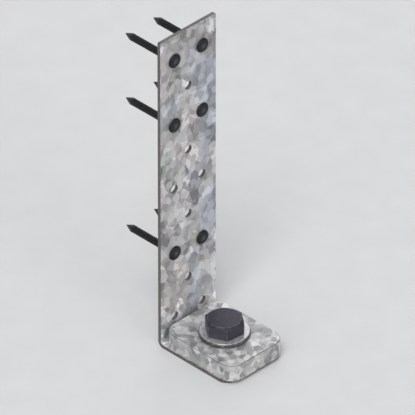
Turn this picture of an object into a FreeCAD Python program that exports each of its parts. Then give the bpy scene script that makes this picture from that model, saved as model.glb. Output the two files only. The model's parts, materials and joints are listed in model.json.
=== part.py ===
import FreeCAD, Part
import math
import os

import Sketcher

# Hold-down angle strap with its fasteners, in millimetres, +Z up.
# A flat steel strap stands upright and turns out at its lower end into a short foot.
# A thick plate washer, a round washer and a hexagon bolt clamp the foot down.
# Six connector nails hold the upright leg; the other nail holes are left open.
# The origin is on the bolt's axis, at the underside of the foot. +X points along the
# foot to its free end, and Y runs across the strap. All but the bolt's turned head is
# symmetric about Y = 0.

DIMENSIONS = [
    ("strap_width", 40, "width of the bent strap"),
    ("strap_height", 190, "underside of the foot to the top edge"),
    ("sheet_thickness", 2, "thickness of the strap"),
    ("foot_length", 50, "back of the strap to the end of the foot"),
    ("bend_radius", 1.5, "inside radius of the bend"),
    ("foot_corner_radius", 6, "rounding of the foot's two free corners"),
    ("top_corner_radius", 0.8, "rounding of the upright leg's top corners"),
    ("nail_hole_diameter", 5, "punched holes in the upright leg"),
    ("nail_column_spacing", 20, "across the strap, between the two outer columns"),
    ("nail_row_pitch", 40, "along the strap, between rows of one column"),
    ("top_row_inset", 15, "top edge to the highest row of two"),
    ("centre_hole_drop", 20, "a row of two to the centre hole below it"),
    ("lowest_hole_height", 12, "no hole centre lies lower than this"),
    ("plate_length", 50, "plate washer along X"),
    ("plate_width", 40, "plate washer along Y"),
    ("plate_thickness", 10, "plate washer"),
    ("plate_corner_radius", 7.5, "upright corners of the plate washer"),
    ("plate_edge_radius", 0.6, "softened rims of the plate washer"),
    ("washer_diameter", 27, "round washer"),
    ("washer_thickness", 2.5, "round washer"),
    ("washer_edge_chamfer", 0.5, "upper outer rim of the round washer"),
    ("thread_diameter", 12, "over the crests of the bolt's thread, below the foot"),
    ("shank_diameter", 10.8, "plain shank of the bolt, down to the foot's underside"),
    ("bolt_length", 80, "anchor bolt below its head"),
    ("bolt_end_chamfer", 1.2, "lower end of the anchor bolt"),
    ("head_flats", 19, "across the flats of the bolt head"),
    ("head_height", 7.5, "bolt head above the round washer"),
    ("head_crown_diameter", 17.6, "flat circle on top of the bolt head"),
    ("head_chamfer_drop", 1.3, "height of the turned chamfer at the head's corners"),
    ("head_turn", 53, "degrees from +X to the middle of one of the head's flats"),
    ("collar_diameter", 17, "bearing face under the bolt head"),
    ("collar_height", 0.6, "bearing face under the bolt head"),
    ("bolt_hole_clearance", 1, "foot and plate washer, around the bolt's thread"),
    ("washer_clearance", 0.5, "round washer, around the bolt's thread"),
    ("nail_diameter", 4, "shank of a connector nail"),
    ("nail_length", 35, "connector nail below its head"),
    ("nail_head_diameter", 8, "flat head of a connector nail"),
    ("nail_head_thickness", 1.3, "flat head of a connector nail"),
    ("nail_head_chamfer", 0.35, "rim of the nail head"),
    ("nail_neck_clearance", 0.1, "tapered neck inside the nail hole"),
    ("nail_neck_length", 2, "tapered neck below the nail head"),
    ("nail_point_length", 6, "pointed end of the nail"),
]

# Rows of two that hold nails, counted down from the highest row.
NAILED_ROWS = (0, 1, 3)

HEAD_SIDES = 6

# Lengths below this count as nothing when edges are picked out.
TOUCHING = 1e-6

doc = FreeCAD.newDocument("AngleBracket")
sizes = doc.addObject("Spreadsheet::Sheet", "Sizes")
for row, (alias, value, meaning) in enumerate(DIMENSIONS, start=1):
    sizes.set(f"A{row}", alias)
    sizes.set(f"B{row}", str(value))
    sizes.set(f"C{row}", meaning)
    sizes.setAlias(f"B{row}", alias)
doc.recompute()


def size(alias):
    """Return a driving dimension as a plain number."""
    return float(sizes.get(alias))


def worked_out(expression):
    """Return what an expression of driving dimensions comes to."""
    return float(sizes.evalExpression(expression))


# Places and radii that several pieces share, written for expressions.
ANCHOR_SETBACK = "(Sizes.sheet_thickness + Sizes.bend_radius + Sizes.plate_length / 2)"
STACK_TOP = "(Sizes.sheet_thickness + Sizes.plate_thickness + Sizes.washer_thickness)"
BOLT_HOLE_RADIUS = "(Sizes.thread_diameter / 2 + Sizes.bolt_hole_clearance)"
TOP_ROW_HEIGHT = "(Sizes.strap_height - Sizes.top_row_inset)"
CORNER_RADIUS_OF_HEAD = "(Sizes.head_flats / sqrt(3))"


def new_body(name):
    body = doc.addObject("PartDesign::Body", name)
    body.Label = name
    return body


def origin_feature(body, role):
    """Return one plane or axis of a body's own origin."""
    return next(item for item in body.Origin.OriginFeatures if item.Role == role)


def new_sketch(body, name, plane, offset=None):
    """Start a sketch on a plane of the body's origin, lifted along its normal."""
    sketch = body.newObject("Sketcher::SketchObject", name)
    sketch.AttachmentSupport = [(origin_feature(body, plane), "")]
    sketch.MapMode = "FlatFace"
    if offset:
        sketch.setExpression("AttachmentOffset.Base.z", offset)
    return sketch


def dimension(sketch, expression, kind, *references):
    """Add a constraint whose value follows the spreadsheet."""
    index = sketch.addConstraint(Sketcher.Constraint(kind, *references, 1.0))
    sketch.setExpression(f"Constraints[{index}]", expression)


def closed_outline(sketch, points):
    """Join the points with straight lines and return the lines' indices."""
    corners = [FreeCAD.Vector(x, y, 0) for x, y in points]
    following = corners[1:] + corners[:1]
    lines = [sketch.addGeometry(Part.LineSegment(a, b)) for a, b in zip(corners, following)]
    for line, after in zip(lines, lines[1:] + lines[:1]):
        sketch.addConstraint(Sketcher.Constraint("Coincident", line, 2, after, 1))
    return lines


def fix_points(sketch, lines, places):
    """Hold the start of each line at the place given by two expressions."""
    for line, (across, along) in zip(lines, places):
        for kind, place in (("DistanceX", across), ("DistanceY", along)):
            if place == "0":
                axis = -2 if kind == "DistanceX" else -1
                sketch.addConstraint(Sketcher.Constraint("PointOnObject", line, 1, axis))
            else:
                dimension(sketch, place, kind, -1, 1, line, 1)


def turned_profile(body, name, plane, places):
    """Draw a closed profile whose corners are pairs of expressions."""
    sketch = new_sketch(body, name, plane)
    lines = closed_outline(sketch, [[worked_out(text) for text in pair] for pair in places])
    fix_points(sketch, lines, places)
    return sketch


def revolve(body, name, sketch, axis):
    turned = body.newObject("PartDesign::Revolution", name)
    turned.Profile = sketch
    turned.ReferenceAxis = (origin_feature(body, axis), [""])
    turned.Angle = 360
    return turned


def circle(sketch, radius, centre_x="0", centre_y="0", guess=(0, 0)):
    """Draw a circle; its centre follows two expressions."""
    index = sketch.addGeometry(Part.Circle(FreeCAD.Vector(*guess, 0), FreeCAD.Vector(0, 0, 1), 1))
    dimension(sketch, radius, "Radius", index)
    for kind, place, axis in (("DistanceX", centre_x, -2), ("DistanceY", centre_y, -1)):
        if place == "0":
            sketch.addConstraint(Sketcher.Constraint("PointOnObject", index, 3, axis))
        else:
            dimension(sketch, place, kind, -1, 1, index, 3)
    return index


def through_pocket(body, name, sketch, reverse):
    cut = body.newObject("PartDesign::Pocket", name)
    cut.Profile = sketch
    cut.Type = "ThroughAll"
    cut.Reversed = reverse
    return cut


def repeat_down(body, name, feature, count):
    """Repeat a row of holes down the strap at the row pitch."""
    pattern = body.newObject("PartDesign::LinearPattern", name)
    pattern.Originals = [feature]
    pattern.Direction = (origin_feature(body, "Z_Axis"), [""])
    pattern.Reversed = True
    pattern.Mode = "Spacing"
    pattern.setExpression("Offset", "Sizes.nail_row_pitch")
    pattern.setExpression("Occurrences", count)
    body.Tip = pattern
    return pattern


def edges_where(shape, test):
    """Name the straight or curved edges whose shape passes the test."""
    return [f"Edge{i}" for i, edge in enumerate(shape.Edges, start=1) if test(edge)]


def is_upright_at(edge, x):
    """Tell whether an edge runs along Z at this X."""
    box = edge.BoundBox
    return box.XLength < TOUCHING and box.YLength < TOUCHING and abs(box.XMin - x) < TOUCHING


def bent_profile(body):
    """Draw the strap's edge view: two legs joined by a concentric bend."""
    sketch = new_sketch(body, "strap_profile", "XZ_Plane")
    back = -worked_out(ANCHOR_SETBACK)
    inner = size("bend_radius")
    sheet = size("sheet_thickness")
    outer = inner + sheet
    top = size("strap_height")
    end = back + size("foot_length")
    centre = FreeCAD.Vector(back + outer, outer, 0)

    def line(x1, y1, x2, y2):
        segment = Part.LineSegment(FreeCAD.Vector(x1, y1, 0), FreeCAD.Vector(x2, y2, 0))
        return sketch.addGeometry(segment)

    def bend(radius):
        round_line = Part.Circle(centre, FreeCAD.Vector(0, 0, 1), radius)
        return sketch.addGeometry(Part.ArcOfCircle(round_line, math.pi, 1.5 * math.pi))

    back_face = line(back, top, back, outer)
    outer_bend = bend(outer)
    underside = line(back + outer, 0, end, 0)
    foot_end = line(end, 0, end, sheet)
    foot_top = line(end, sheet, back + outer, sheet)
    inner_bend = bend(inner)
    front_face = line(back + sheet, outer, back + sheet, top)
    top_edge = line(back + sheet, top, back, top)

    def join(kind, first, first_end, second, second_end):
        sketch.addConstraint(Sketcher.Constraint(kind, first, first_end, second, second_end))

    join("Tangent", back_face, 2, outer_bend, 1)
    join("Tangent", outer_bend, 2, underside, 1)
    join("Coincident", underside, 2, foot_end, 1)
    join("Coincident", foot_end, 2, foot_top, 1)
    join("Tangent", foot_top, 2, inner_bend, 2)
    join("Tangent", inner_bend, 1, front_face, 1)
    join("Coincident", front_face, 2, top_edge, 1)
    join("Coincident", top_edge, 2, back_face, 1)
    join("Coincident", outer_bend, 3, inner_bend, 3)
    for upright in (back_face, front_face, foot_end):
        sketch.addConstraint(Sketcher.Constraint("Vertical", upright))
    for level in (underside, foot_top, top_edge):
        sketch.addConstraint(Sketcher.Constraint("Horizontal", level))
    sketch.addConstraint(Sketcher.Constraint("PointOnObject", underside, 1, -1))
    dimension(sketch, "Sizes.bend_radius", "Radius", inner_bend)
    dimension(sketch, "Sizes.sheet_thickness", "DistanceX", back_face, 1, front_face, 2)
    dimension(sketch, "Sizes.strap_height", "DistanceY", -1, 1, back_face, 1)
    dimension(sketch, "Sizes.foot_length", "DistanceX", back_face, 1, foot_end, 1)
    dimension(sketch, ANCHOR_SETBACK, "DistanceX", back_face, 1, -1, 1)
    return sketch


def rounded_corners(body, name, base, radius, edges):
    corners = body.newObject("PartDesign::Fillet", name)
    corners.Base = (base, edges)
    corners.setExpression("Radius", radius)
    return corners


def make_angle_bracket():
    """Bend one strap of sheet, and punch its nail holes and its bolt hole."""
    body = new_body("angle_bracket")
    strap = body.newObject("PartDesign::Pad", "bent_strap")
    strap.Profile = bent_profile(body)
    strap.SideType = "Symmetric"
    strap.setExpression("Length", "Sizes.strap_width")

    bolt_sketch = new_sketch(body, "bolt_hole_sketch", "XY_Plane")
    circle(bolt_sketch, BOLT_HOLE_RADIUS)
    through_pocket(body, "bolt_hole", bolt_sketch, True)

    pair_sketch = new_sketch(body, "row_of_two_sketch", "YZ_Plane", "-" + ANCHOR_SETBACK)
    for side, guess in (("", 1), ("-", -1)):
        place = side + "Sizes.nail_column_spacing / 2"
        circle(pair_sketch, "Sizes.nail_hole_diameter / 2", place, TOP_ROW_HEIGHT, (guess, 1))
    pair = through_pocket(body, "row_of_two", pair_sketch, True)
    rows = f"floor(({TOP_ROW_HEIGHT} - Sizes.lowest_hole_height) / Sizes.nail_row_pitch) + 1"
    repeat_down(body, "rows_of_two", pair, rows)

    single_sketch = new_sketch(body, "centre_hole_sketch", "YZ_Plane", "-" + ANCHOR_SETBACK)
    first_centre = f"({TOP_ROW_HEIGHT} - Sizes.centre_hole_drop)"
    circle(single_sketch, "Sizes.nail_hole_diameter / 2", "0", first_centre, (0, 1))
    single = through_pocket(body, "centre_hole", single_sketch, True)
    singles = f"floor(({first_centre} - Sizes.lowest_hole_height) / Sizes.nail_row_pitch) + 1"
    holes = repeat_down(body, "centre_holes", single, singles)
    doc.recompute()

    foot_end_x = holes.Shape.BoundBox.XMax
    foot_edges = edges_where(holes.Shape, lambda edge: is_upright_at(edge, foot_end_x))
    foot = rounded_corners(body, "foot_corners", holes, "Sizes.foot_corner_radius", foot_edges)
    doc.recompute()

    top = size("strap_height")

    def is_top_corner(edge):
        box = edge.BoundBox
        return box.YLength < TOUCHING and box.ZLength < TOUCHING and abs(box.ZMin - top) < TOUCHING

    top_edges = edges_where(foot.Shape, is_top_corner)
    body.Tip = rounded_corners(body, "top_corners", foot, "Sizes.top_corner_radius", top_edges)
    return body


def make_plate_washer():
    """Thick rounded plate that lies on the foot and spreads the bolt's load."""
    body = new_body("plate_washer")
    outline = new_sketch(body, "plate_outline", "XY_Plane", "Sizes.sheet_thickness")
    lines = closed_outline(outline, [(-1, -1), (1, -1), (1, 1), (-1, 1)])
    half_x = "Sizes.plate_length / 2"
    half_y = "Sizes.plate_width / 2"
    signs = (("-", "-"), ("", "-"), ("", ""), ("-", ""))
    fix_points(outline, lines, [(sx + half_x, sy + half_y) for sx, sy in signs])
    circle(outline, BOLT_HOLE_RADIUS)
    plate = body.newObject("PartDesign::Pad", "plate")
    plate.Profile = outline
    plate.setExpression("Length", "Sizes.plate_thickness")
    doc.recompute()

    hole_radius = worked_out(BOLT_HOLE_RADIUS)

    def is_off_the_hole(box):
        reach = max(abs(box.XMin), abs(box.XMax), abs(box.YMin), abs(box.YMax))
        return reach > hole_radius + TOUCHING

    def is_corner(edge):
        box = edge.BoundBox
        return box.XLength < TOUCHING and box.YLength < TOUCHING and is_off_the_hole(box)

    def is_rim(edge):
        box = edge.BoundBox
        return box.ZLength < TOUCHING and is_off_the_hole(box)

    corner_edges = edges_where(plate.Shape, is_corner)
    corners = rounded_corners(body, "plate_corners", plate, "Sizes.plate_corner_radius", corner_edges)
    doc.recompute()
    rim_edges = edges_where(corners.Shape, is_rim)
    body.Tip = rounded_corners(body, "plate_rims", corners, "Sizes.plate_edge_radius", rim_edges)
    return body


def make_anchor_washer():
    """Round washer between the plate washer and the bolt head."""
    body = new_body("anchor_washer")
    bottom = "Sizes.sheet_thickness + Sizes.plate_thickness"
    inner = "Sizes.thread_diameter / 2 + Sizes.washer_clearance"
    outer = "Sizes.washer_diameter / 2"
    profile = turned_profile(body, "washer_profile", "XZ_Plane", [
        (inner, bottom),
        (outer, bottom),
        (outer, STACK_TOP + " - Sizes.washer_edge_chamfer"),
        (outer + " - Sizes.washer_edge_chamfer", STACK_TOP),
        (inner, STACK_TOP),
    ])
    body.Tip = revolve(body, "washer_ring", profile, "Z_Axis")
    return body


def make_anchor_bolt():
    """Turn the bolt's blank with its chamfered head, then cut the head's six flats."""
    body = new_body("anchor_bolt")
    shank = "Sizes.shank_diameter / 2"
    thread = "Sizes.thread_diameter / 2"
    end = STACK_TOP + " - Sizes.bolt_length"
    collar_top = STACK_TOP + " + Sizes.collar_height"
    crown = STACK_TOP + " + Sizes.head_height"
    profile = turned_profile(body, "bolt_profile", "XZ_Plane", [
        ("0", end),
        (thread + " - Sizes.bolt_end_chamfer", end),
        (thread, end + " + Sizes.bolt_end_chamfer"),
        (thread, "0"),
        (shank, "0"),
        (shank, STACK_TOP),
        ("Sizes.collar_diameter / 2", STACK_TOP),
        ("Sizes.collar_diameter / 2", collar_top),
        (CORNER_RADIUS_OF_HEAD, collar_top),
        (CORNER_RADIUS_OF_HEAD, crown + " - Sizes.head_chamfer_drop"),
        ("Sizes.head_crown_diameter / 2", crown),
        ("0", crown),
    ])
    revolve(body, "bolt_blank", profile, "Z_Axis")

    flat_sketch = new_sketch(body, "flat_sketch", "XY_Plane", collar_top)
    flat_sketch.setExpression("AttachmentOffset.Rotation.Angle", "Sizes.head_turn")
    flat = "Sizes.head_flats / 2"
    beyond = "Sizes.head_flats"
    lines = closed_outline(flat_sketch, [(1, -1), (2, -1), (2, 1), (1, 1)])
    fix_points(flat_sketch, lines, [
        (flat, "-" + beyond), (beyond, "-" + beyond), (beyond, beyond), (flat, beyond),
    ])
    cut = through_pocket(body, "first_flat", flat_sketch, True)
    flats = body.newObject("PartDesign::PolarPattern", "six_flats")
    flats.Originals = [cut]
    flats.Axis = (origin_feature(body, "Z_Axis"), [""])
    flats.Occurrences = HEAD_SIDES
    flats.Angle = 360
    body.Tip = flats
    return body


def make_nails():
    """Turn one connector nail, and seat a copy in each nailed hole."""
    nail = new_body("connector_nail")
    shank = "Sizes.nail_diameter / 2"
    head = "Sizes.nail_head_diameter / 2"
    neck = "Sizes.nail_hole_diameter / 2 - Sizes.nail_neck_clearance"
    profile = turned_profile(nail, "nail_profile", "XY_Plane", [
        ("-Sizes.nail_length", "0"),
        ("Sizes.nail_point_length - Sizes.nail_length", shank),
        ("-Sizes.nail_neck_length", shank),
        ("0", neck),
        ("0", head),
        ("Sizes.nail_head_thickness - Sizes.nail_head_chamfer", head),
        ("Sizes.nail_head_thickness", head + " - Sizes.nail_head_chamfer"),
        ("Sizes.nail_head_thickness", "0"),
    ])
    nail.Tip = revolve(nail, "turned_nail", profile, "X_Axis")
    doc.recompute()

    copies = []
    for row in NAILED_ROWS:
        for side in ("", "-"):
            copy = doc.addObject("App::Link", "nail_in_hole")
            copy.LinkedObject = nail
            copy.setExpression("Placement.Base.x", "Sizes.sheet_thickness - " + ANCHOR_SETBACK)
            copy.setExpression("Placement.Base.y", side + "Sizes.nail_column_spacing / 2")
            copy.setExpression("Placement.Base.z", f"{TOP_ROW_HEIGHT} - {row} * Sizes.nail_row_pitch")
            copies.append(copy)
    group = doc.addObject("Part::Compound", "nails")
    group.Label = "nails"
    group.Links = copies
    return group


pieces = [
    make_angle_bracket(),
    make_plate_washer(),
    make_anchor_washer(),
    make_anchor_bolt(),
    make_nails(),
]
doc.recompute()

failed = [item.Name for item in doc.Objects if {"Invalid", "Error"} & set(item.State)]
if failed:
    raise RuntimeError("failed objects: " + ", ".join(failed))
for piece in pieces:
    if piece.Shape.isNull() or not piece.Shape.isValid():
        raise RuntimeError(piece.Label + " has no valid shape")

os.makedirs("parts", exist_ok=True)
for piece in pieces:
    piece.Shape.exportStep(f"parts/{piece.Label}.step")
    box = piece.Shape.optimalBoundingBox()
    print(f"{piece.Label}: {len(piece.Shape.Solids)} solids, {piece.Shape.Volume:.1f} mm3, "
          f"{box.XMin:.2f}..{box.XMax:.2f}, {box.YMin:.2f}..{box.YMax:.2f}, {box.ZMin:.2f}..{box.ZMax:.2f}")
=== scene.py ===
import json
import math

import bpy
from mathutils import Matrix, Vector


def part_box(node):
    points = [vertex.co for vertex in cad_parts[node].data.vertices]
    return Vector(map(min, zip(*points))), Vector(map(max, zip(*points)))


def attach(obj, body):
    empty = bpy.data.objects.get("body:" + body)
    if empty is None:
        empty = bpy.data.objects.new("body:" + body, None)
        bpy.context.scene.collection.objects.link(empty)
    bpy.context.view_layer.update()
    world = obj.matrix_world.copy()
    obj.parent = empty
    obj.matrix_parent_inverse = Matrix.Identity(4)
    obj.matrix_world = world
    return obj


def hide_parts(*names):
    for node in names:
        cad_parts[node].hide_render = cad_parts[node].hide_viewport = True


# Hold-down angle strap with its plate washer, round washer, anchor bolt and nails.
# Lengths are in metres in the row's frame: the origin is on the bolt's axis at the
# underside of the foot, +X points along the foot to its free end, and +Z is up.

MM = 0.001

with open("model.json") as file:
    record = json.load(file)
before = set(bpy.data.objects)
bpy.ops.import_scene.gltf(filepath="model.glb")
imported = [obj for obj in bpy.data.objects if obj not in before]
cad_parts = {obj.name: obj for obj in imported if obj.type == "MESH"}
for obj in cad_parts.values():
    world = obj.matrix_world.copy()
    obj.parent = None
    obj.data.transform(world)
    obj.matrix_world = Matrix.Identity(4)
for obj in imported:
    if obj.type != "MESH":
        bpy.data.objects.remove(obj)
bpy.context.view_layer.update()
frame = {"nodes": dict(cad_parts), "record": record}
nodes = frame["nodes"]

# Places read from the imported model.
strap_low, strap_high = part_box("angle_bracket")
bolt_low, bolt_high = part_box("anchor_bolt")
bolt_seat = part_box("anchor_washer")[1].z
nail_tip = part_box("nails")[0].x
mounts = {mount["name"]: mount for mount in frame["record"]["mounts"]}

# The strap and its washers.
SHEET_THICKNESS = 2 * MM
BEND_OUTER_RADIUS = 3.5 * MM
STRAP_EDGE_ROUNDING = 0.22 * MM
PLATE_EDGE_ROUNDING = 0.1 * MM
WASHER_EDGE_ROUNDING = 0.18 * MM
ROUNDED_ABOVE = math.radians(30)
WELD_REACH = 0.001 * MM

# The anchor bolt.
HEAD_SIDES = 6
HEAD_CORNER_TURN = math.radians(23)
HEAD_FLATS = 19 * MM
HEAD_CORNER_RADIUS = HEAD_FLATS / math.sqrt(3)
HEAD_CROWN_RADIUS = 8.8 * MM
HEAD_CHAMFER_DROP = 1.3 * MM
COLLAR_RADIUS = 8.5 * MM
COLLAR_HEIGHT = 0.6 * MM
SHANK_RADIUS = 5.4 * MM
THREAD_PITCH = 1.75 * MM
THREAD_DEPTH = 1.07 * MM
THREAD_CREST_SHARE = 0.125
THREAD_ROOT_SHARE = 0.25
BOLT_END_CHAMFER = 1.2 * MM
BOLT_SEGMENTS = 96
BOLT_SMOOTH_BELOW = math.radians(25)

# The connector nails, and the pattern of holes that they sit in.
NAIL_RADIUS = 2 * MM
NAIL_HEAD_RADIUS = 4 * MM
NAIL_HEAD_THICKNESS = 1.3 * MM
NAIL_HEAD_DOME = 0.75 * MM
NAIL_HEAD_SHOULDER = 1.7 * MM
NAIL_HEAD_LIP = 0.1 * MM
NAIL_HEAD_LIP_HEIGHT = 0.12 * MM
NAIL_NECK_RADIUS = 2.4 * MM
NAIL_NECK_LENGTH = 2 * MM
NAIL_POINT_LENGTH = 6 * MM
NAIL_TIP_RADIUS = 0.15 * MM
NAIL_RING_PITCH = 1.3 * MM
NAIL_RING_DEPTH = 0.3 * MM
NAIL_RING_ROOT_SHARE = 0.2
NAIL_RING_CREST_SHARE = 0.85
NAIL_POINT_STEPS = 10
NAIL_DOME_STEPS = 6
NAIL_SEGMENTS = 48
NAIL_SMOOTH_BELOW = math.radians(40)
NAIL_COLUMN = 10 * MM
NAIL_ROW_PITCH = 40 * MM
TOP_ROW_INSET = 15 * MM

# The zinc's crystals. The strap has large ones with small ones among them.
LARGE_CRYSTAL = 7.4 * MM
LARGE_STRETCH = 1.35
SMALL_CRYSTAL = 3.3 * MM
SMALL_STRETCH = 1.2
SMALL_CRYSTAL_SHIFT = (0.31, 0.17, 0.05)
PLATE_CRYSTAL = 3.4 * MM

# Inside a crystal of any size: how far and how finely its border wanders, the phase of
# its feathers from side to side in radians, and how far and how finely they waver.
CRYSTAL_WANDER = 0.62
WANDER_FINENESS = 1.1
FEATHER_PHASE = 64
FEATHER_WAVER = 7
WAVER_FINENESS = 3

# Limits on the part of a face's normal that points one way. Below the first, the face
# was sheared from the sheet. Above the second, it is the strap's long side. Below the
# third, it is the round washer's wall. Above the last, it faces that way.
SHEARED_BELOW = 0.35
LONG_SIDE_ABOVE = 0.9
WASHER_WALL_BELOW = 0.75
FACING_ABOVE = 0.5

# Colours and marks of the metals.
TINT_SLOPE = 3.2
# Height over which the painted light on the strap's lower part fades out.
PAINTED_LIGHT_HEIGHT = 100 * MM
MARKS_ON_LEG = (0.6, 3.0, 3.0)
MARKS_ON_FOOT = (3.0, 3.0, 0.6)
RUBBED_ZINC = (0.15, 0.145, 0.14)
PRESS_RING_PITCH = 0.5 * MM
PRESS_RING_WOBBLE = 2.5
# The bolt head's paler corners and rim: wear and a painted highlight.
WORN_AND_HIGHLIGHT_SLATE = (0.1, 0.095, 0.12)
WORN_HIGHLIGHT_CORNER = 0.36 * MM
WORN_HIGHLIGHT_RIM = 0.3 * MM
WORN_HIGHLIGHT_RIM_DROP = 0.25 * MM
# Raggedness of the nail heads' paler middles: wear and a painted highlight.
STRUCK_HIGHLIGHT_RAGGED = 0.8 * MM

# The studio and the camera. Each sun has a name, the way to it, its width in degrees
# and its strength.
FLOOR_REACH = 40
SUNS = (
    ("key", (0.35, -0.55, 1.0), 24, 1.8),
    ("fill", (0.9, -0.15, 0.3), 36, 0.88),
    ("side", (0.15, -1.0, 0.3), 40, 0.75),
    ("back", (-0.6, 0.6, 0.7), 40, 0.45),
)
HORIZON_COLOUR = (0.69, 0.69, 0.7)
SKY_COLOUR = (0.52, 0.53, 0.55)
SKY_FROM = 0.5
VIEW_AZIMUTH = math.radians(45)
VIEW_ELEVATION = math.asin(1 / math.sqrt(3))
VIEW_WIDTH = 0.213
VIEW_CENTRE = Vector((-0.0125, 0, 0.0855))
LENS = 1000
SENSOR = 36
CLIP_END = 50

# The middle of a noise's colour, and a Mix node's colour sockets, which share their
# names with others and so go by number.
MIDDLE = (0.5, 0.5, 0.5)
MIX_FIRST, MIX_SECOND = 6, 7
MIX_RESULT = 2


def mesh_piece(name, points, faces, smooth_below):
    """Make a mesh object that shades smooth where its faces meet below an angle."""
    mesh = bpy.data.meshes.new(name)
    mesh.from_pydata(points, [], faces)
    mesh.validate()
    mesh.shade_smooth()
    mesh.set_sharp_from_angle(angle=smooth_below)
    piece = bpy.data.objects.new(name, mesh)
    bpy.context.scene.collection.objects.link(piece)
    return piece


def turned_surface(name, rings, segments, to_point, smooth_below, start=0.0, seam=None):
    """Close a tube of rings with flat ends.

    Each ring is a function of the angle round the axis, and gives the radius there and
    the place along the axis. to_point(radius, place, angle) sets the point in the row.
    seam lists the pairs of rings that meet where the last step closes on the first one.
    Without it, every ring meets itself there.
    """
    points = []
    for ring in rings:
        for step in range(segments):
            angle = start + math.tau * step / segments
            points.append(to_point(*ring(angle), angle))
    closed = [(row, row) for row in range(len(rings))]
    faces = []
    for step in range(segments):
        after = (step + 1) % segments
        pairs = closed if after or not seam else seam
        for (low, low_after), (high, high_after) in zip(pairs, pairs[1:]):
            corners = (
                low * segments + step,
                low_after * segments + after,
                high_after * segments + after,
                high * segments + step,
            )
            # Where two of the corners are one point, the face is a triangle.
            faces.append(tuple(dict.fromkeys(corners)))
    faces.append(tuple(reversed(range(segments))))
    last = (len(rings) - 1) * segments
    faces.append(tuple(range(last, last + segments)))
    return mesh_piece(name, points, faces, smooth_below)


def round_ring(radius, place):
    return lambda angle: (radius, place)


def soften(piece, width, segments=3):
    """Weld the piece's faces together and round its hard edges a little."""
    weld = piece.modifiers.new("weld", "WELD")
    weld.merge_threshold = WELD_REACH
    bevel = piece.modifiers.new("rounded_edges", "BEVEL")
    bevel.width = width
    bevel.segments = segments
    bevel.limit_method = "ANGLE"
    bevel.angle_limit = ROUNDED_ABOVE
    bevel.harden_normals = True
    return piece


class Nodes:
    """A short way to write a material's node tree."""

    def __init__(self, name):
        self.material = bpy.data.materials.new(name)
        self.material.use_nodes = True
        self.tree = self.material.node_tree
        self.shader = self.tree.nodes["Principled BSDF"]

    def connect(self, value, socket):
        """Link an output to a socket, or set the socket's own value."""
        if isinstance(value, bpy.types.NodeSocket):
            self.tree.links.new(value, socket)
        elif isinstance(value, (tuple, list)) and socket.type == "RGBA" and len(value) == 3:
            socket.default_value = (*value, 1)
        else:
            socket.default_value = value

    def add(self, kind, settings=None, **inputs):
        """Add a node. An input's name has _ where its label has a space."""
        node = self.tree.nodes.new(kind)
        for key, value in (settings or {}).items():
            setattr(node, key, value)
        for key, value in inputs.items():
            self.connect(value, node.inputs[key.replace("_", " ")])
        return node

    def math(self, operation, *values):
        node = self.tree.nodes.new("ShaderNodeMath")
        node.operation = operation
        for socket, value in zip(node.inputs, values):
            self.connect(value, socket)
        return node.outputs[0]

    def line(self, value, slope, start):
        """The value times a slope, plus a start."""
        return self.math("ADD", self.math("MULTIPLY", value, slope), start)

    def weighted(self, first, *others):
        """The sum of pairs of a value and its weight."""
        total = self.math("MULTIPLY", *first)
        for pair in others:
            total = self.math("ADD", total, self.math("MULTIPLY", *pair))
        return total

    def vector(self, operation, *values):
        node = self.tree.nodes.new("ShaderNodeVectorMath")
        node.operation = operation
        for socket, value in zip(node.inputs, values):
            self.connect(value, socket)
        return node.outputs["Value" if operation == "LENGTH" else "Vector"]

    def scaled(self, vector, *factors):
        """The vector times one factor, or times one for each of its parts."""
        return self.vector("MULTIPLY", vector, factors if len(factors) == 3 else factors * 3)

    def split(self, vector):
        return self.add("ShaderNodeSeparateXYZ", Vector=vector).outputs

    def level_length(self, x, y):
        flat = self.add("ShaderNodeCombineXYZ", X=x, Y=y).outputs["Vector"]
        return self.vector("LENGTH", flat)

    def place(self):
        """The point's place in metres, in the row's frame."""
        return self.tree.nodes.new("ShaderNodeTexCoord").outputs["Object"]

    def direction(self, kind="True Normal"):
        """The way that the surface faces."""
        return self.add("ShaderNodeNewGeometry").outputs[kind]

    def noise(self, place, scale, detail=3, roughness=0.5):
        inputs = {"Vector": place, "Scale": scale, "Detail": detail, "Roughness": roughness}
        return self.add("ShaderNodeTexNoise", **inputs).outputs

    def cells(self, place, scale, feature="F1"):
        settings = {"feature": feature}
        return self.add("ShaderNodeTexVoronoi", settings, Vector=place, Scale=scale).outputs

    def ramp(self, value, *stops):
        """Colours or greys along a value, from pairs of a position and a colour."""
        node = self.add("ShaderNodeValToRGB", Fac=value)
        elements = node.color_ramp.elements
        while len(elements) < len(stops):
            elements.new(0.5)
        for element, (position, colour) in zip(elements, stops):
            parts = colour if isinstance(colour, tuple) else (colour,) * 3
            element.position = position
            element.color = (*parts, 1)
        return node.outputs["Color"]

    def mix(self, share, first, second, blend="MIX"):
        node = self.tree.nodes.new("ShaderNodeMix")
        node.data_type = "RGBA"
        node.blend_type = blend
        self.connect(share, node.inputs["Factor"])
        self.connect(first, node.inputs[MIX_FIRST])
        self.connect(second, node.inputs[MIX_SECOND])
        return node.outputs[MIX_RESULT]

    def tinted(self, colour, tint):
        return self.mix(1.0, colour, tint, "MULTIPLY")

    def bump(self, height, distance, strength, normal=None):
        node = self.add("ShaderNodeBump", Height=height, Distance=distance, Strength=strength)
        if normal:
            self.connect(normal, node.inputs["Normal"])
        return node.outputs["Normal"]

    def finish(self, **inputs):
        """Set the shader's sockets and return the material."""
        for key, value in inputs.items():
            self.connect(value, self.shader.inputs[key.replace("_", " ")])
        return self.material


def give_material(piece, material):
    piece.data.materials.clear()
    piece.data.materials.append(material)


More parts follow.
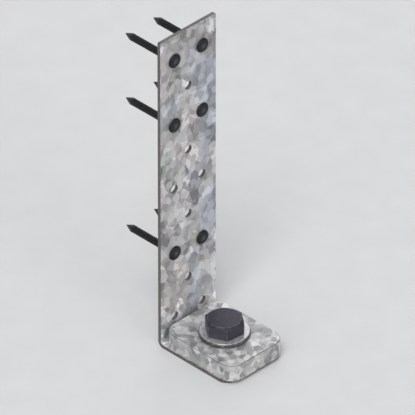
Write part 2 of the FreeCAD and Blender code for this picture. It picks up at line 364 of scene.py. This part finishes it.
def crystals(n, place, size, stretch=1.0):
    """Zinc crystals of about this size, drawn out along Z.

    Gives each crystal's random colour, that colour's three parts, the feathers across
    the crystal, and the distance to its border, in crystals.
    """
    drift = n.vector("SUBTRACT", n.noise(place, WANDER_FINENESS / size)["Color"], MIDDLE)
    warped = n.vector("ADD", place, n.scaled(drift, CRYSTAL_WANDER * size))
    drawn_out = n.scaled(warped, 1.0, 1.0, 1 / stretch)
    cell = n.cells(drawn_out, 1 / size)
    border = n.cells(drawn_out, 1 / size, "DISTANCE_TO_EDGE")["Distance"]
    random = n.split(cell["Color"])

    # The feathers run a different way in each crystal, and waver.
    turn = n.math("MULTIPLY", random[1], math.tau)
    x, y, z = n.split(warped)
    along = n.math("MULTIPLY", n.math("ADD", z, x), n.math("SINE", turn))
    across = n.math("MULTIPLY", n.math("ADD", y, x), n.math("COSINE", turn))
    phase = n.math("MULTIPLY", n.math("ADD", along, across), FEATHER_PHASE / size)
    fine_noise = n.noise(place, WAVER_FINENESS / size, detail=2)["Fac"]
    waver = n.math("MULTIPLY", fine_noise, FEATHER_WAVER)
    feathers = n.math("SINE", n.math("ADD", phase, n.math("ADD", waver, cell["Distance"])))
    return cell["Color"], random, feathers, border


def tilted(n, random_colour, amount):
    """Lean each crystal's surface its own way, so that crystals catch the light in turn."""
    lean = n.scaled(n.vector("SUBTRACT", random_colour, MIDDLE), amount)
    return n.vector("NORMALIZE", n.vector("ADD", n.direction("Normal"), lean))


def sheared_faces(n, place):
    """One where the sheet was sheared or punched: its outline and the walls of its holes."""
    ax, ay, az = (n.math("ABSOLUTE", part) for part in n.split(n.direction()))
    x, _, z = n.split(place)
    above_bend = n.math("GREATER_THAN", z, BEND_OUTER_RADIUS)
    past_bend = n.math("GREATER_THAN", x, strap_low.x + BEND_OUTER_RADIUS)
    leg = n.math("MULTIPLY", above_bend, n.math("LESS_THAN", ax, SHEARED_BELOW))
    foot = n.math("MULTIPLY", past_bend, n.math("LESS_THAN", az, SHEARED_BELOW))
    side = n.math("GREATER_THAN", ay, LONG_SIDE_ABOVE)
    return n.math("MAXIMUM", n.math("MAXIMUM", leg, foot), side)


def galvanised_sheet():
    """Bright zinc spangle: feathered crystals of differing grey, with faint tints."""
    n = Nodes("galvanised_spangle")
    place = n.place()
    large_colour, large, feathers, border = crystals(n, place, LARGE_CRYSTAL, LARGE_STRETCH)
    elsewhere = n.vector("ADD", place, SMALL_CRYSTAL_SHIFT)
    _, small, fine_feathers, _ = crystals(n, elsewhere, SMALL_CRYSTAL, SMALL_STRETCH)

    tone = n.weighted(
        (large[0], 0.54), (small[0], 0.46), (feathers, 0.035), (fine_feathers, 0.03),
    )
    grey = n.ramp(tone, (0.12, 0.172), (0.34, 0.29), (0.55, 0.39), (0.74, 0.5), (0.9, 0.65))
    grey = n.tinted(grey, n.ramp(border, (0.0, 0.84), (0.035, 1.0)))

    # Cool towards +Y, through neutral, to warm, pink and green towards -Y.
    _, y, z = n.split(place)
    drift = n.noise(n.scaled(place, 1.0, 1.0, 0.6), scale=55)["Fac"]
    drift = n.math("SUBTRACT", drift, n.math("MULTIPLY", y, TINT_SLOPE))
    tint = n.ramp(
        drift,
        (0.34, (0.93, 0.965, 1.06)), (0.44, (0.97, 0.975, 1.03)), (0.5, (1.0, 0.995, 0.99)),
        (0.56, (1.03, 0.99, 0.96)), (0.63, (1.04, 0.965, 1.02)), (0.72, (0.96, 1.01, 0.96)),
    )
    zinc = n.tinted(grey, tint)

    # Painted light: the zinc is brighter towards the foot, lifting the shade that the plate and
    # bolt cast on the leg's lower part.
    height = n.math("DIVIDE", z, PAINTED_LIGHT_HEIGHT)
    zinc = n.tinted(zinc, n.ramp(height, (0.15, 1.55), (0.65, 1.0)))

    # The shears left marks through the thickness: along X on the leg, along Z on the foot.
    on_leg = n.math("GREATER_THAN", z, BEND_OUTER_RADIUS)
    marks = n.vector("MULTIPLY", place, n.mix(on_leg, MARKS_ON_FOOT, MARKS_ON_LEG))
    smear = n.noise(marks, scale=900)["Fac"]
    steel = n.ramp(
        smear,
        (0.3, (0.06, 0.056, 0.052)), (0.55, (0.11, 0.105, 0.099)), (0.75, (0.24, 0.233, 0.224)),
    )
    colour = n.mix(sheared_faces(n, place), zinc, steel)
    relief = n.weighted((feathers, 0.3), (fine_feathers, 0.2), (small[0], 0.5))
    return n.finish(
        Base_Color=colour,
        Metallic=0.38,
        Roughness=n.line(large[2], slope=0.22, start=0.34),
        Normal=n.bump(relief, 0.02 * MM, strength=0.5, normal=tilted(n, large_colour, 0.2)),
    )


def dipped_plate():
    """Hot-dip zinc on thick plate: small dull crystals under a soft mottled bloom."""
    n = Nodes("dipped_zinc_plate")
    place = n.place()
    cell_colour, cell, feathers, border = crystals(n, place, PLATE_CRYSTAL)
    bloom = n.noise(place, scale=190, detail=5, roughness=0.6)["Fac"]
    grain = n.noise(place, scale=1700)["Fac"]
    uneven = n.math("SUBTRACT", grain, 0.5)
    tone = n.weighted((cell[0], 0.42), (bloom, 0.58), (feathers, 0.02), (uneven, 0.12))
    grey = n.ramp(tone, (0.24, 0.2), (0.42, 0.332), (0.56, 0.438), (0.72, 0.62))
    tint = n.ramp(bloom, (0.35, (0.985, 0.995, 1.01)), (0.65, (1.01, 1.0, 0.98)))
    colour = n.tinted(grey, tint)
    colour = n.tinted(colour, n.ramp(border, (0.0, 0.86), (0.04, 1.0)))

    # The coat is thin and rubbed dark along the rounded rims.
    level = n.math("ABSOLUTE", n.split(n.direction("Normal"))[2])
    rims = n.ramp(level, (0.06, 0.0), (0.3, 1.0), (0.8, 1.0), (0.97, 0.0))
    rubbed = n.math("MULTIPLY", rims, n.ramp(bloom, (0.3, 0.6), (0.6, 0.95)))
    colour = n.mix(rubbed, colour, RUBBED_ZINC)
    relief = n.weighted((bloom, 0.7), (grain, 0.3))
    return n.finish(
        Base_Color=colour,
        Metallic=0.4,
        Roughness=n.line(cell[1], slope=0.16, start=0.46),
        Normal=n.bump(relief, 0.14 * MM, strength=0.7, normal=tilted(n, cell_colour, 0.12)),
    )


def plated_washer():
    """Zinc plating over stamped steel, with faint rings from the press tool."""
    n = Nodes("plated_zinc_washer")
    place = n.place()
    x, y, _ = n.split(place)
    wobble = n.math("MULTIPLY", n.noise(place, scale=500, detail=2)["Fac"], PRESS_RING_WOBBLE)
    turns = n.math("MULTIPLY", n.level_length(x, y), math.tau / PRESS_RING_PITCH)
    rings = n.math("SINE", n.math("ADD", turns, wobble))
    haze = n.noise(place, scale=420, detail=4)["Fac"]
    tone = n.math("ADD", haze, n.math("MULTIPLY", rings, 0.05))
    zinc = n.ramp(
        tone,
        (0.3, (0.38, 0.38, 0.395)), (0.5, (0.53, 0.53, 0.545)), (0.7, (0.63, 0.63, 0.645)),
    )

    # The stamped walls are rough and dull.
    level = n.math("ABSOLUTE", n.split(n.direction())[2])
    walls = n.math("LESS_THAN", level, WASHER_WALL_BELOW)
    dull = n.ramp(haze, (0.35, 0.07), (0.65, 0.16))
    return n.finish(
        Base_Color=n.mix(walls, zinc, dull),
        Metallic=0.7,
        Roughness=n.line(haze, slope=0.2, start=0.3),
        Normal=n.bump(rings, 0.012 * MM, strength=0.4),
    )


def dark_bolt():
    """Dark slate coating, darkest on the head's top, with top and sides in separate greys as
    painted light and shade, and worn paler at its corners and rim, where a painted highlight also
    lies.
    """
    n = Nodes("slate_coated_steel")
    place = n.place()
    haze = n.noise(place, scale=420, detail=5, roughness=0.6)["Fac"]
    grain = n.noise(place, scale=2600, detail=2)["Fac"]
    # Painted light and shade: the head's top and its sides take separate greys by which way they
    # face, each set for the tone it shows under the suns.
    sides = n.ramp(haze, (0.3, (0.025, 0.024, 0.033)), (0.7, (0.049, 0.046, 0.06)))
    top = n.ramp(
        haze,
        (0.3, (0.018, 0.016, 0.026)), (0.55, (0.027, 0.025, 0.039)), (0.75, (0.048, 0.044, 0.063)),
    )
    x, y, z = n.split(place)
    radius = n.level_length(x, y)
    # Wear and a painted highlight: the head's corners and crown rim turn paler.
    from_corner = n.math("SUBTRACT", HEAD_CORNER_RADIUS, radius)
    corner = n.ramp(n.math("DIVIDE", from_corner, WORN_HIGHLIGHT_CORNER), (0.2, 1.0), (1.0, 0.0))
    from_rim = n.math("ABSOLUTE", n.math("SUBTRACT", radius, HEAD_CROWN_RADIUS))
    near_top = n.math("GREATER_THAN", z, bolt_high.z - WORN_HIGHLIGHT_RIM_DROP)
    rim = n.ramp(n.math("DIVIDE", from_rim, WORN_HIGHLIGHT_RIM), (0.3, 1.0), (1.0, 0.0))
    wear_and_highlight = n.math("MAXIMUM", corner, n.math("MULTIPLY", rim, near_top))
    wear_and_highlight = n.math("MULTIPLY", wear_and_highlight, n.ramp(haze, (0.38, 0.0), (0.56, 1.0)))
    on_head = n.math("GREATER_THAN", z, bolt_seat + COLLAR_HEIGHT)
    upward = n.math("GREATER_THAN", n.split(n.direction())[2], FACING_ABOVE)
    colour = n.mix(n.math("MULTIPLY", upward, on_head), sides, top)
    colour = n.mix(n.math("MULTIPLY", wear_and_highlight, on_head), colour, WORN_AND_HIGHLIGHT_SLATE)
    return n.finish(
        Base_Color=colour,
        Metallic=0.35,
        Roughness=n.line(haze, slope=0.22, start=0.32),
        Normal=n.bump(grain, 0.03 * MM, strength=0.35),
    )


def dark_nail():
    """Blackened steel with a fine grain, rubbed paler where the hammer met the head, with a
    painted highlight there too.
    """
    n = Nodes("blackened_steel")
    place = n.place()
    haze = n.noise(place, scale=700, detail=4, roughness=0.6)["Fac"]
    grain = n.noise(place, scale=4200, detail=2)["Fac"]
    black = n.ramp(haze, (0.3, (0.003, 0.004, 0.005)), (0.75, (0.009, 0.011, 0.013)))
    # Paler middle of each nail head: hammer wear and a painted highlight.
    struck_and_highlight = n.ramp(haze, (0.35, (0.022, 0.025, 0.027)), (0.65, (0.06, 0.064, 0.068)))

    # Every nail sits on a column and on a row of the strap's pattern.
    _, y, z = n.split(place)
    off_column = n.math("SUBTRACT", n.math("ABSOLUTE", y), NAIL_COLUMN)
    below_top_row = n.math("SUBTRACT", z, strap_high.z - TOP_ROW_INSET)
    off_row = n.math("WRAP", below_top_row, NAIL_ROW_PITCH / 2, -NAIL_ROW_PITCH / 2)
    ragged = n.math("MULTIPLY", n.math("SUBTRACT", haze, 0.5), STRUCK_HIGHLIGHT_RAGGED)
    radius = n.math("ADD", n.level_length(off_column, off_row), ragged)
    struck_highlight_spot = n.ramp(n.math("DIVIDE", radius, NAIL_HEAD_RADIUS), (0.2, 1.0), (0.5, 0.0))
    outward = n.math("GREATER_THAN", n.split(n.direction("Normal"))[0], FACING_ABOVE)
    return n.finish(
        Base_Color=n.mix(n.math("MULTIPLY", struck_highlight_spot, outward), black, struck_and_highlight),
        Metallic=0.1,
        Roughness=n.line(haze, slope=0.2, start=0.38),
        Specular_IOR_Level=0.3,
        Normal=n.bump(grain, 0.02 * MM, strength=0.3),
    )


def plain_floor():
    n = Nodes("pale_floor")
    speck = n.noise(n.place(), scale=60)["Fac"]
    return n.finish(Base_Color=n.ramp(speck, (0.3, 0.54), (0.7, 0.56)), Roughness=0.9)


def hexagon_reach(angle):
    """Distance from the axis to the head's side in this direction."""
    sector = math.tau / HEAD_SIDES
    from_middle = (angle - HEAD_CORNER_TURN) % sector - sector / 2
    return HEAD_FLATS / 2 / math.cos(from_middle)


def thread_rings(end, turns, crest):
    """The thread's edges, each a ring that climbs one pitch on its way round.

    The ridge rises out of the root in the first turn, and the groove fades out in the last.
    """
    root = crest - THREAD_DEPTH
    half_root, half_crest = THREAD_ROOT_SHARE / 2, THREAD_CREST_SHARE / 2
    ridge_start = 0.5 + half_crest
    groove_end = turns - half_root

    def edge(turn, share, on_ridge):
        def ring(angle):
            along = turn + share + (angle - HEAD_CORNER_TURN) / math.tau
            if on_ridge:
                radius = root + THREAD_DEPTH * min(max(along - ridge_start, 0), 1)
            else:
                radius = crest - THREAD_DEPTH * min(max(groove_end - along, 0), 1)
            return radius, end + THREAD_PITCH * along
        return ring

    edges = (
        (half_root, False),
        (0.5 - half_crest, True),
        (0.5 + half_crest, True),
        (1 - half_root, False),
    )
    return [edge(turn, *place) for turn in range(turns) for place in edges]


def thread_seam(rings, last, step):
    """Pairs of rings that meet at the seam: each of the thread's rings meets its next turn.

    The thread's rings are those from 1 to last, with step of them in a turn.
    """
    pairs = [(0, row) for row in range(step)]
    pairs += [(row, row + step) for row in range(last - step + 1)]
    pairs += [(row, last) for row in range(last - step + 1, last)]
    pairs += [(row, row) for row in range(last, rings)]
    return pairs


def head_rings(seat, top):
    """Hexagon with a turned chamfer: its sides end where they meet the chamfer's cone."""
    slope = HEAD_CHAMFER_DROP / (HEAD_CORNER_RADIUS - HEAD_CROWN_RADIUS)
    collar_top = seat + COLLAR_HEIGHT

    def chamfer_edge(angle):
        reach = hexagon_reach(angle)
        return reach, top - (reach - HEAD_CROWN_RADIUS) * slope

    return [
        round_ring(COLLAR_RADIUS, seat),
        round_ring(COLLAR_RADIUS, collar_top),
        lambda angle: (hexagon_reach(angle), collar_top),
        chamfer_edge,
        round_ring(HEAD_CROWN_RADIUS, top),
    ]


def make_bolt():
    """Head, plain shank and thread, as one closed surface."""
    shank_mount = mounts["anchor_shank"]
    crest = shank_mount["dims"]["r_mm"] * MM
    thread_top = shank_mount["pos_m"][2]
    turns = int((thread_top - bolt_low.z) / THREAD_PITCH) - 1
    thread = thread_rings(bolt_low.z, turns, crest)
    rings = [
        round_ring(crest - BOLT_END_CHAMFER, bolt_low.z),
        *thread,
        round_ring(crest, thread_top),
        round_ring(SHANK_RADIUS, thread_top),
        round_ring(SHANK_RADIUS, bolt_seat),
        *head_rings(bolt_seat, bolt_high.z),
    ]
    seam = thread_seam(len(rings), len(thread), len(thread) // turns)

    def to_point(radius, height, angle):
        return radius * math.cos(angle), radius * math.sin(angle), height

    bolt = turned_surface(
        "anchor_bolt_detailed", rings, BOLT_SEGMENTS, to_point, BOLT_SMOOTH_BELOW,
        start=HEAD_CORNER_TURN, seam=seam,
    )
    give_material(bolt, dark_bolt())
    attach(bolt, "root")
    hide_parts("anchor_bolt")


def four_sided(radius, place):
    """A ring of the nail's point: a square whose corners stay inside the round shank."""
    def ring(angle):
        side = max(abs(math.cos(angle)), abs(math.sin(angle)))
        return min(radius / side, NAIL_RADIUS), place
    return ring


def nail_rings(length):
    """The nail's rings, by their distance from the underside of its head."""
    rings = []
    for step in range(NAIL_POINT_STEPS):
        share = step / NAIL_POINT_STEPS
        radius = NAIL_TIP_RADIUS + (NAIL_RADIUS - NAIL_TIP_RADIUS) * share
        rings.append(four_sided(radius, -length + NAIL_POINT_LENGTH * share))

    place = -length + NAIL_POINT_LENGTH
    rings.append(round_ring(NAIL_RADIUS, place))
    while place + NAIL_RING_PITCH < -NAIL_NECK_LENGTH - NAIL_RING_PITCH:
        root = place + NAIL_RING_ROOT_SHARE * NAIL_RING_PITCH
        crest = place + NAIL_RING_CREST_SHARE * NAIL_RING_PITCH
        rings.append(round_ring(NAIL_RADIUS - NAIL_RING_DEPTH, root))
        rings.append(round_ring(NAIL_RADIUS, crest))
        place += NAIL_RING_PITCH
        rings.append(round_ring(NAIL_RADIUS, place))

    rings += [
        round_ring(NAIL_RADIUS, -NAIL_NECK_LENGTH),
        round_ring(NAIL_NECK_RADIUS, 0),
        round_ring(NAIL_HEAD_RADIUS - NAIL_HEAD_LIP, 0),
        round_ring(NAIL_HEAD_RADIUS, NAIL_HEAD_LIP_HEIGHT),
    ]
    for step in range(NAIL_DOME_STEPS + 1):
        turn = math.radians(90 * step / NAIL_DOME_STEPS)
        radius = NAIL_HEAD_RADIUS - NAIL_HEAD_SHOULDER * (1 - math.cos(turn))
        height = NAIL_HEAD_THICKNESS - NAIL_HEAD_DOME * (1 - math.sin(turn))
        rings.append(round_ring(radius, height))
    return rings


def nail_places():
    """Centres of the nailed holes, across the strap and up it."""
    for name in ("upper_nails", "lower_nails"):
        dims = mounts[name]["dims"]
        middle = mounts[name]["pos_m"][2]
        across = dims.get("spacing_x_mm", dims.get("pcd_mm")) * MM / 2
        up = dims.get("spacing_y_mm", 0) * MM / 2
        for z in sorted({middle - up, middle + up}):
            for y in (-across, across):
                yield y, z


def make_nails():
    """Ringed nails with four-sided points, one in each nailed hole."""
    material = dark_nail()
    seat = strap_low.x + SHEET_THICKNESS
    rings = nail_rings(seat - nail_tip)
    for number, (y, z) in enumerate(nail_places(), start=1):

        def to_point(radius, place, angle, y=y, z=z):
            return seat + place, y + radius * math.cos(angle), z + radius * math.sin(angle)

        name = f"nail_{number}"
        nail = turned_surface(name, rings, NAIL_SEGMENTS, to_point, NAIL_SMOOTH_BELOW)
        give_material(nail, material)
        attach(nail, "root")
        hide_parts("nails")


def dress_cad_nodes():
    strap = soften(nodes["angle_bracket"], STRAP_EDGE_ROUNDING)
    give_material(strap, galvanised_sheet())
    plate = soften(nodes["plate_washer"], PLATE_EDGE_ROUNDING, segments=2)
    give_material(plate, dipped_plate())
    washer = soften(nodes["anchor_washer"], WASHER_EDGE_ROUNDING)
    give_material(washer, plated_washer())


def add_sun(name, towards, angle, strength):
    """Soft light from one side. towards points from the part to the light."""
    light = bpy.data.lights.new(name, "SUN")
    light.angle = math.radians(angle)
    light.energy = strength
    lamp = bpy.data.objects.new(name, light)
    lamp.rotation_mode = "QUATERNION"
    lamp.rotation_quaternion = Vector(towards).to_track_quat("Z", "Y")
    bpy.context.scene.collection.objects.link(lamp)


def add_floor():
    """Pale floor, level with the underside of the foot."""
    reach = FLOOR_REACH
    corners = [(-reach, -reach, 0), (reach, -reach, 0), (reach, reach, 0), (-reach, reach, 0)]
    floor = mesh_piece("floor", corners, [(0, 1, 2, 3)], smooth_below=0)
    floor.data.materials.append(plain_floor())


def add_sky():
    """Even light from all round, a little brighter near the horizon."""
    world = bpy.data.worlds.new("studio")
    bpy.context.scene.world = world
    world.use_nodes = True
    tree = world.node_tree
    direction = tree.nodes.new("ShaderNodeTexCoord").outputs["Generated"]
    split = tree.nodes.new("ShaderNodeSeparateXYZ")
    tree.links.new(direction, split.inputs[0])
    sky = tree.nodes.new("ShaderNodeValToRGB")
    tree.links.new(split.outputs[2], sky.inputs[0])
    low, high = sky.color_ramp.elements
    low.position, high.position = 0.0, SKY_FROM
    low.color, high.color = (*HORIZON_COLOUR, 1), (*SKY_COLOUR, 1)
    tree.links.new(sky.outputs[0], tree.nodes["Background"].inputs["Color"])


def set_studio():
    add_floor()
    add_sky()
    for sun in SUNS:
        add_sun(*sun)
    bpy.context.scene.view_settings.view_transform = "Standard"


def set_camera():
    """Look along the photograph's isometric direction, through a very long lens."""
    level = math.cos(VIEW_ELEVATION)
    back = Vector((
        math.sin(VIEW_AZIMUTH) * level,
        -math.cos(VIEW_AZIMUTH) * level,
        math.sin(VIEW_ELEVATION),
    ))
    data = bpy.data.cameras.new("camera")
    data.lens = LENS
    data.sensor_width = SENSOR
    data.clip_end = CLIP_END
    camera = bpy.data.objects.new("camera", data)
    camera.rotation_mode = "QUATERNION"
    camera.rotation_quaternion = (-back).to_track_quat("-Z", "Y")
    camera.location = VIEW_CENTRE + back * (VIEW_WIDTH * LENS / SENSOR)
    bpy.context.scene.collection.objects.link(camera)
    bpy.context.scene.camera = camera


dress_cad_nodes()
make_bolt()
make_nails()
set_studio()
set_camera()
